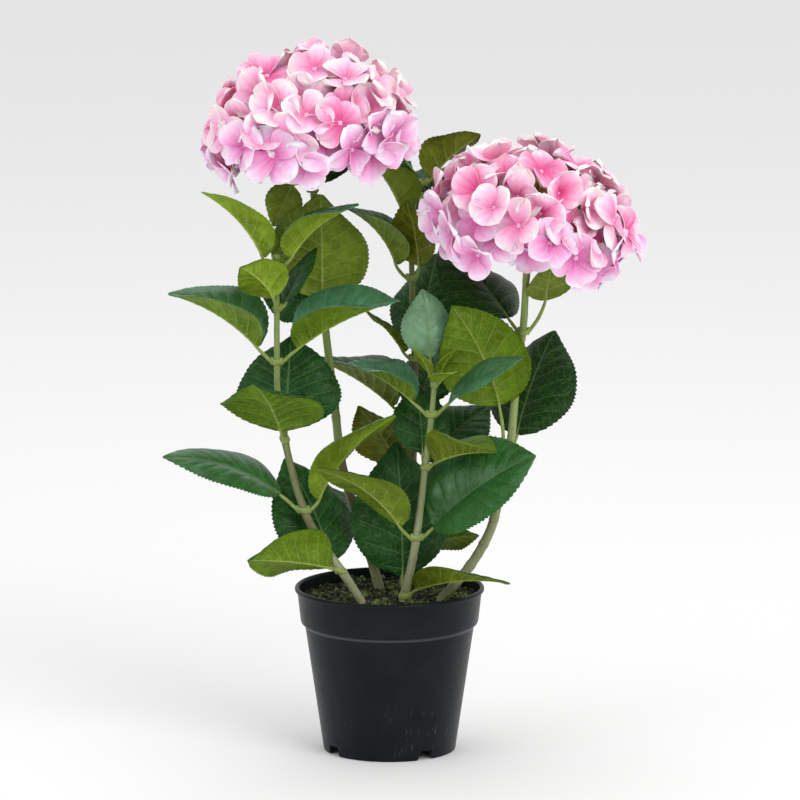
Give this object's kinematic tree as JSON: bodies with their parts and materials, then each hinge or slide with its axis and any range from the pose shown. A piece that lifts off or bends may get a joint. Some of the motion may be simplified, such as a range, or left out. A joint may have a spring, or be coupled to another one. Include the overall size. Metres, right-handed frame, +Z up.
{
  "type": "artificial potted hydrangea",
  "caption": "Artificial flowering shrub with two domed flower heads and broad serrated leaves on bare stems, standing in a tapered nursery pot with a moss-topped fill.",
  "frame": {"origin": "centre of the flat underside of the pot, where it stands", "axes": "+Z up, from the pot to the flower heads; -Y is the front, the side the picture looks at; +X is to the right seen from the front"},
  "size_m": [0.3751, 0.2074, 0.5637],
  "materials": {
    "pot_plastic": "satin",
    "moss_fill": "matte",
    "stems": "matte",
    "leaves": "satin",
    "petals": "matte"
  },
  "bodies": {
    "root": {"pot": "pot_plastic", "moss_fill": "moss_fill", "stem_a": "stems", "stem_b": "stems", "stem_c": "stems", "stem_d": "stems", "stem_e": "stems", "leaves_a1": "leaves", "leaves_a2": "leaves", "leaves_a3": "leaves", "leaves_a4": "leaves", "leaves_a5": "leaves", "leaves_a6": "leaves", "leaves_a7": "leaves", "leaves_b1": "leaves", "leaves_b2": "leaves", "leaves_c1": "leaves", "leaves_c2": "leaves", "leaves_c3": "leaves", "leaves_c4": "leaves", "leaves_c5": "leaves", "leaves_c6": "leaves", "leaves_d1": "leaves", "leaves_d2": "leaves", "leaves_d3": "leaves", "leaves_d4": "leaves", "leaves_d5": "leaves", "leaves_d6": "leaves", "leaves_d7": "leaves", "leaves_d8": "leaves", "leaves_e1": "leaves", "leaves_e2": "leaves", "flower_left": "petals", "flower_right": "petals"}
  },
  "joints": []
}
